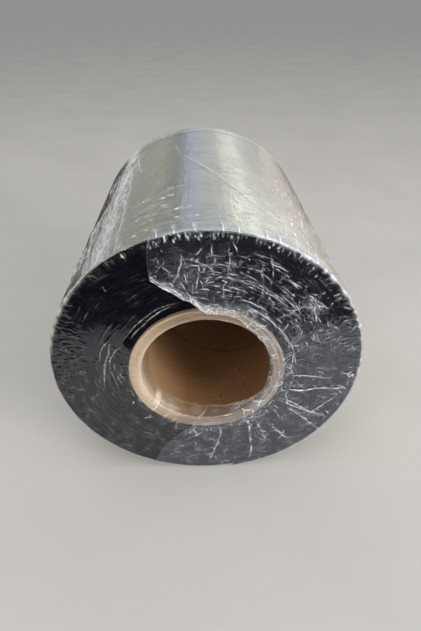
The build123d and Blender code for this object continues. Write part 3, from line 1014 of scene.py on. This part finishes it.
    # The torn edge has thickened to a bead, and behind it on the upper left the film is rolled in strands.
    inside = end_run[:, None] - run
    thick = 0.55 + 0.35 * value_noise(turn / 1.3, 0 * run, 86)
    bead = bell(inside, 0, 1.3 * thick) * (0.75 + 0.6 * value_noise(turn / 0.9, run / 2, 88))
    rolled = bell(inside, 0, 4.6, 4) * np.clip((turn - 64) / 8, 0, 1)
    strands = bell(value_noise(turn / 3.5 + inside / 3, inside / 1.3, 831), 0, 0.16)
    strands = strands + 0.6 * bell(value_noise(turn / 1.6 - inside / 3, inside / 2, 832), 0, 0.12)
    lift = lift + 0.35 * rolled * np.abs(strands) * (run < rim_run - 8)
    lift = lift + 0.5 * bead * (run < rim_run)
    for mark in (layers * (0.06 + 0.7 * clumps * np.clip(veins, 0, 1)), 0.85 * crest_with_sheen * uneven,
                 rolled * np.clip(0.17 + 0.5 * strands, 0, 0.8), 0.65 * np.clip(bead, 0, 1),
                 (run < -1.2) * (0.09 + 0.26 * bell(turn, 36, 24, 4))):
        haze = np.maximum(haze, mark)
    crumple = patch(turn, run, (50, 24, 60, 18, 0.75), (0, 25, 50, 40, 0.5), (-70, 25, 50, 40, 0.8),
                    (100, 25, 14, 14, 0.35), (85, 2, 30, 3, 0.4))
    lean = patch(turn, run, (85, 0, 32, 7, 1.0), (-10, 20, 42, 24, 0.8), (-80, 25, 40, 30, 0.9))
    return finish_end(-1, False, points, normals, lift, haze, crumple, lean, run)


torn_film = cling_film("stretch_film_torn", "#f8fafc", 0.08, 0.008, "#e9eef6")
lay_film("film_front_over", cap_over(), torn_film)


# The film over the back end: the side's film again, folded over, gathered along the edge and tucked
# into the bore like the front's under layer, with no torn flap over it.
def cap_back():
    """The film over the back end."""
    rng = np.random.default_rng(401)
    surface = end_surface(1)
    angles = np.linspace(0, 360, 420, endpoint=False)
    turn = angles[:, None]
    end_run = rim_run + 17 + 5 * np.sin(np.radians(angles * 2 + 40)) + 0.8 * value_noise(angles / 6, 0, 91)
    start_run = -13.0 - 1.6 * value_noise(angles / 11, 0, 92) - 0.8 * value_noise(angles / 2.5, 0, 93)
    rows = 120
    run = start_run[:, None] + (end_run - start_run)[:, None] * np.linspace(0, 1, rows)[None, :]
    points, normals, _ = surface(turn, run)
    edge = np.exp(-np.abs(run) / 4)
    lift = 0.12 * np.abs(value_noise(points[..., 0] / 8, points[..., 2] / 8, 94))
    lift = lift + 0.32 * edge * gathered(turn, run, 95)
    haze = 0.2 * edge * np.clip(gathered(turn, run, 95) - 0.4, 0, 1)
    creases = []
    for zone in (
            (160, (0, 360), (1, 6), (90, 14), (3, 9), (0.6, 0.9), (0.2, 0.5), 0.8, 0.3),
            (130, (0, 360), (6, 40), (80, 30), (5, 16), (0.7, 1.0), (0.15, 0.4), 0.6, 0.4),
            (60, (0, 360), (10, 38), (0, 10), (8, 26), (0.7, 1.0), (0.15, 0.3), 0.6, 0.1),
            (22, (0, 360), (22, 26), (90, 6), (24, 40), (0.9, 1.2), (0.3, 0.5), 0.9, 0.1)):
        creases += scatter(rng, surface, *zone)
    press(creases, surface, angles, run, points, lift, haze)
    funnel = bell(run, rim_run - 0.2, 1.6)
    haze = np.maximum(haze, np.maximum(0.26 * (run < -0.8), 0.30 * funnel))
    crumple, lean = 0.4 + 0 * haze, 1 + 0 * haze
    return finish_end(1, True, points, normals, lift, haze, crumple, lean, run)


lay_film("film_back", cap_back(), film_cap)


# The studio: a pale painted floor, soft lamps above and behind, and cloths that only reflections see:
# a dark one in front of the roll, and striped ones on the floor at both sides of it.
floor_level = cad_box[0][2]
floor_reach = 60.0
dark_cloth_gap = 0.0005
striped_cloth_gap = 0.0008


def soft_lamp(name, place, aim, size, power, colour="#ffffff"):
    """A rectangular soft lamp at a place, turned towards aim."""
    data = bpy.data.lights.new(name, "AREA")
    data.shape = "RECTANGLE"
    data.size, data.size_y = size
    data.energy = power
    data.color = linear(colour)[:3]
    lamp = bpy.data.objects.new(name, data)
    lamp.location = place
    lamp.rotation_euler = (Vector(aim) - Vector(place)).to_track_quat("-Z", "Y").to_euler()
    lamp.visible_camera = False
    bpy.context.scene.collection.objects.link(lamp)
    return lamp


def floor_paint():
    """Pale satin paint: light warm grey with a faint mottle."""
    material, tree, place = start_material("floor_paint_satin")
    mottle = add(tree, "TexNoise", {"Vector": place, "Scale": 9.0, "Detail": 3.0})
    grey = add(tree, "ValToRGB", (mottle,), stops=((0.3, "#cbc9c6"), (0.7, "#d1cfcc")))
    surface = add(tree, "BsdfPrincipled", {"Base Color": grey, "Roughness": 0.6, "Specular IOR Level": 0.0})
    add(tree, "OutputMaterial", {"Surface": surface})
    return material


def hide_cloth(cloth):
    """Leaves a cloth for reflections only."""
    cloth.visible_camera = cloth.visible_diffuse = cloth.visible_shadow = cloth.visible_transmission = False


floor_steps = np.linspace(-floor_reach, floor_reach, 9) / mm
floor_points = [(a, b, floor_level / mm) for a in floor_steps for b in floor_steps]
floor = make_piece("studio_floor", floor_points, sheet_faces(9, 9, False, True), [floor_paint()])


def dark_cloth():
    """Dull dark cloth, whose frayed lower edge makes its reflection end softly and unevenly."""
    material, tree, place = start_material("dark_cloth")
    height = add(tree, "SeparateXYZ", {"Vector": place}, out="Z")
    fray = add(tree, "TexNoise", {"Vector": place, "Scale": 90.0, "Detail": 4.0})
    height = add(tree, "Math", (fray, 0.05, height), operation="MULTIPLY_ADD")
    dense = add(tree, "MapRange", (height, floor_level + 0.021, -0.048), interpolation_type="SMOOTHSTEP")
    gaps, cloth = add(tree, "BsdfTransparent"), add(tree, "BsdfDiffuse", {"Color": linear("#0f131f")})
    add(tree, "OutputMaterial", {"Surface": add(tree, "MixShader", (dense, gaps, cloth))})
    return material


flag_foot = floor_level + dark_cloth_gap
flag_points = [(x / mm, -0.250 / mm, z / mm) for x in (-0.70, 0.30) for z in (flag_foot, 0.12)]
hide_cloth(make_piece("dark_cloth", flag_points, [(0, 1, 3, 2)], [dark_cloth()]))


def mirrored_bands(tree, shown):
    """Colour of what the foil mirrors at a place round the roll, from 0 on the left to 1 on the right:
    broad pale bands with darker ones beside them, and thin streaks between them towards both sides."""
    # Each tone with the angle round the roll at which the foil shows it, from 180 on the left.
    tones = ((175, "#8d8a84"), (166, "#2e2a25"), (157, "#352f28"), (152, "#4c4740"), (148, "#6f6c66"),
             (144.5, "#bfbfb9"), (142, "#e6e6e0"), (139, "#e4e4de"), (137, "#b5b5ae"), (134, "#929089"),
             (126, "#969488"), (116, "#a09d90"), (106, "#868680"), (100.5, "#92938f"), (99, "#a8adb8"),
             (93.5, "#abb0b8"), (92, "#b2b3b0"), (82, "#b6b6b2"), (77.5, "#c0c0bb"), (75.5, "#d9d7ca"),
             (66, "#e4e2d4"), (64, "#c4c3bc"), (54, "#afaca7"), (50, "#b6b1aa"), (46, "#c4b7ae"),
             (43, "#d6cec2"), (38, "#c9beb0"), (33, "#c8b9a8"), (26, "#93877a"), (5, "#8d8a84"))
    stops = [((180 - angle) / 180, tone) for angle, tone in tones]
    colour = add(tree, "ValToRGB", (shown,), stops=stops)
    streaks = add(tree, "TexNoise", {"W": shown, "Scale": 210.0, "Detail": 3.0}, noise_dimensions="1D")
    aside = add(tree, "Math", (shown, 0.5), operation="SUBTRACT")
    aside = add(tree, "Math", (aside,), operation="ABSOLUTE")
    depth = add(tree, "MapRange", (aside, 0.10, 0.24, 0.8, 3.0))
    streaks = add(tree, "Math", (streaks, 0.5), operation="SUBTRACT")
    streaks = add(tree, "Math", (streaks, depth, 1.0), operation="MULTIPLY_ADD")
    return add(tree, "VectorMath", {0: colour, "Scale": streaks}, operation="SCALE")


def striped_cloth():
    """Cloth in pale and darker stripes along the roll, which go on from the bands of the sky. It gives
    its own light, more on the right and towards the front, so that no lamp has to reach it."""
    material, tree, place = start_material("striped_cloth")
    x, y, _ = add(tree, "SeparateXYZ", {"Vector": place}).node.outputs
    outward = add(tree, "Math", (x,), operation="ABSOLUTE")
    outward = add(tree, "Math", (outward, 0.07), operation="SUBTRACT")
    outward = add(tree, "Math", (outward, 0.16), operation="ARCTAN2")
    on_right = add(tree, "Math", (x, 0.0), operation="GREATER_THAN")
    left = add(tree, "Math", (outward, 1 / (2 * pi)), operation="MULTIPLY")
    right = add(tree, "Math", (1.0, left), operation="SUBTRACT")
    shown = add(tree, "MapRange", (on_right, 0.0, 1.0, left, right))
    near = add(tree, "MapRange", (y, 0.42, 0.14, 1.3, 1.85))
    level = add(tree, "MapRange", (on_right, 0.0, 1.0, 1.3, near))
    light = add(tree, "Emission", {"Color": mirrored_bands(tree, shown), "Strength": level})
    add(tree, "OutputMaterial", {"Surface": light})
    material.cycles.emission_sampling = "NONE"
    return material


strip_level = floor_level + striped_cloth_gap
strip_points = [(x / mm, y / mm, strip_level / mm) for x in (-12, 12) for y in (-0.10, 20)]
hide_cloth(make_piece("striped_cloth", strip_points, [(0, 2, 3, 1)], [striped_cloth()]))


# Name, place, size, brightness where 1 is white, and colour. The fill, side and near lamps light the
# roll and the floor and are not mirrored; the others give the foil and the creases their glints.
for name, place, size, radiance, colour in (
        ("lamp_fill", (-0.15, -0.25, 1.50), (1.10, 0.90), 1.9, "#fffdfa"),
        ("lamp_side", (2.20, -1.80, 0.64), (1.20, 1.20), 11.5, "#fffaf2"),
        ("lamp_near", (0.25, -1.40, 0.50), (0.80, 0.60), 2.2, "#fffdfa"),
        ("lamp_low", (1.20, -0.17, 0.22), (0.10, 0.35), 8.0, "#fffdf8"),
        ("lamp_front", (-0.45, -0.62, 0.72), (0.16, 0.30), 6.0, "#fbfcff"),
        ("lamp_front_right", (0.50, -0.50, 0.60), (0.08, 0.30), 6.0, "#fffdf8")):
    lamp = soft_lamp(name, place, (0, 0, 0), size, radiance * pi * size[0] * size[1], colour)
    lamp.visible_glossy = name not in ("lamp_fill", "lamp_side", "lamp_near")

world = bpy.data.worlds.new("studio")
world.use_nodes = True
sky = world.node_tree
sky.nodes.clear()
toward = add(sky, "TexCoord", out="Generated")
sideward, away, up = add(sky, "SeparateXYZ", {"Vector": toward}).node.outputs
# The bands behind run towards the roll's axis, so that the foil mirrors them as bands along it.
lean = add(sky, "Math", (sideward, up), operation="ARCTAN2")
shown = add(sky, "MapRange", (lean, -pi, pi))
bands = mirrored_bands(sky, shown)
behind = add(sky, "MapRange", (away, -0.20, 0.40))
upward = add(sky, "MapRange", (up, 0.02, 0.25))
behind = add(sky, "Math", (behind, upward), operation="MAXIMUM")
high = add(sky, "VectorMath", (toward, (0, 0.42, 0.91)), out="Value", operation="DOT_PRODUCT")
above = add(sky, "MapRange", (high, 0.82, 0.95))
# Towards the front the right-hand bands are brighter and the left-hand ones a little darker.
for begin, end, tint in ((0.57, 0.62, (1.45, 1.44, 1.38, 1)), (0.55, 0.50, (0.80, 0.80, 0.81, 1))):
    nearer = add(sky, "MapRange", (away, 0.955, 0.90))
    on_hand = add(sky, "MapRange", (shown, begin, end))
    nearer = add(sky, "Math", (nearer, on_hand), operation="MULTIPLY")
    bands = add(sky, "MixRGB", (nearer, bands, tint), blend_type="MULTIPLY")
# The distance is dark and the ceiling bright, which small wrinkles in the foil pick up.
distance = add(sky, "MapRange", (away, 0.977, 0.992, 1.0, 0.35))
ceiling = add(sky, "MapRange", (away, 0.78, 0.60, 1.0, 1.5))
level = add(sky, "Math", (distance, ceiling), operation="MULTIPLY")
bands = add(sky, "VectorMath", {0: bands, "Scale": level}, operation="SCALE")
low = add(sky, "MixRGB", (behind, linear("#343844"), bands))
dome = add(sky, "MixRGB", (above, low, (0.65, 0.65, 0.64, 1)))
# Reflections see the bands; matt surfaces are lit by a pale sky that is brighter on the right.
mirrored = add(sky, "LightPath", out="Is Glossy Ray")
from_right = add(sky, "MapRange", (sideward, -0.4, 1.0, 0.31, 0.45))
seen = add(sky, "MixRGB", (mirrored, from_right, dome))
add(sky, "OutputWorld", {"Surface": add(sky, "Background", {"Color": seen, "Strength": 1.3})})
bpy.context.scene.world = world
bpy.context.scene.view_settings.view_transform = "Standard"
